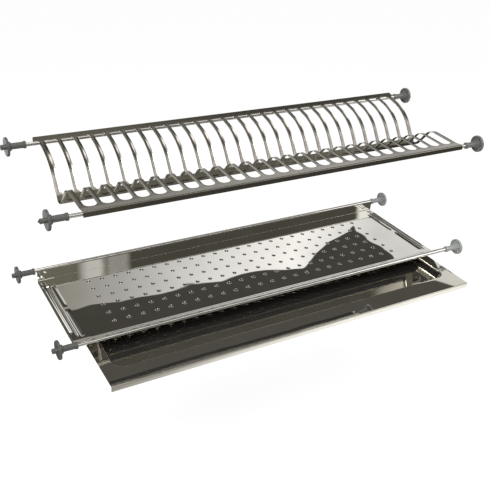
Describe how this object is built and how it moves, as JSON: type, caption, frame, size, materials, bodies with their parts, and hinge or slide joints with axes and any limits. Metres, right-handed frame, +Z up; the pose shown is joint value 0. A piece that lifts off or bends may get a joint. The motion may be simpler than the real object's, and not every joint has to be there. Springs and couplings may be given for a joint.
{
  "type": "cabinet dish drainer",
  "caption": "Two-tier dish drainer for a wall cabinet: a pressed steel plate rack over a perforated shelf for glasses with a slide-out drip tray, hung on rods with plastic end fittings.",
  "frame": {"origin": "on the lower front rod's axis, midway between the cabinet's two sides", "axes": "+X along the rods to the right as seen from the front, +Y to the back of the cabinet, +Z up"},
  "size_m": [0.7855, 0.3189, 0.3096],
  "materials": {
    "rack_steel": "polished stainless sheet, reflecting a dim warm grey room",
    "shelf_steel": "mirror-polished stainless sheet",
    "tray_steel": "mirror-polished stainless sheet",
    "rod_chrome": "bright chrome-plated steel rod",
    "dark_plastic": "moulded dark grey plastic with a soft sheen",
    "pale_plastic": "moulded mid grey plastic with a soft sheen"
  },
  "bodies": {
    "rods": {"rod_lower_front": "rod_chrome", "fitting_lower_front_left": "dark_plastic", "fitting_lower_front_right": "pale_plastic", "rod_lower_back": "rod_chrome", "fitting_lower_back_left": "dark_plastic", "fitting_lower_back_right": "pale_plastic", "rod_upper_front": "rod_chrome", "fitting_upper_front_left": "dark_plastic", "fitting_upper_front_right": "dark_plastic", "rod_upper_back": "rod_chrome", "fitting_upper_back_left": "dark_plastic", "fitting_upper_back_right": "dark_plastic"},
    "plate_rack": {"plate_rack": "rack_steel"},
    "glass_shelf": {"glass_shelf": "shelf_steel"},
    "drip_tray": {"drip_tray": "tray_steel"}
  },
  "joints": [
    {"name": "rack_lift", "type": "slide", "parent": "rods", "child": "plate_rack", "axis": [0, 0, 1], "range_m": [0, 0.08]},
    {"name": "shelf_lift", "type": "slide", "parent": "rods", "child": "glass_shelf", "axis": [0, -0.1158, 0.9933], "range_m": [0, 0.0175]},
    {"name": "tray_slide", "type": "slide", "parent": "glass_shelf", "child": "drip_tray", "axis": [0, 0.9933, 0.1158], "range_m": [-0.09, 0.07]}
  ]
}
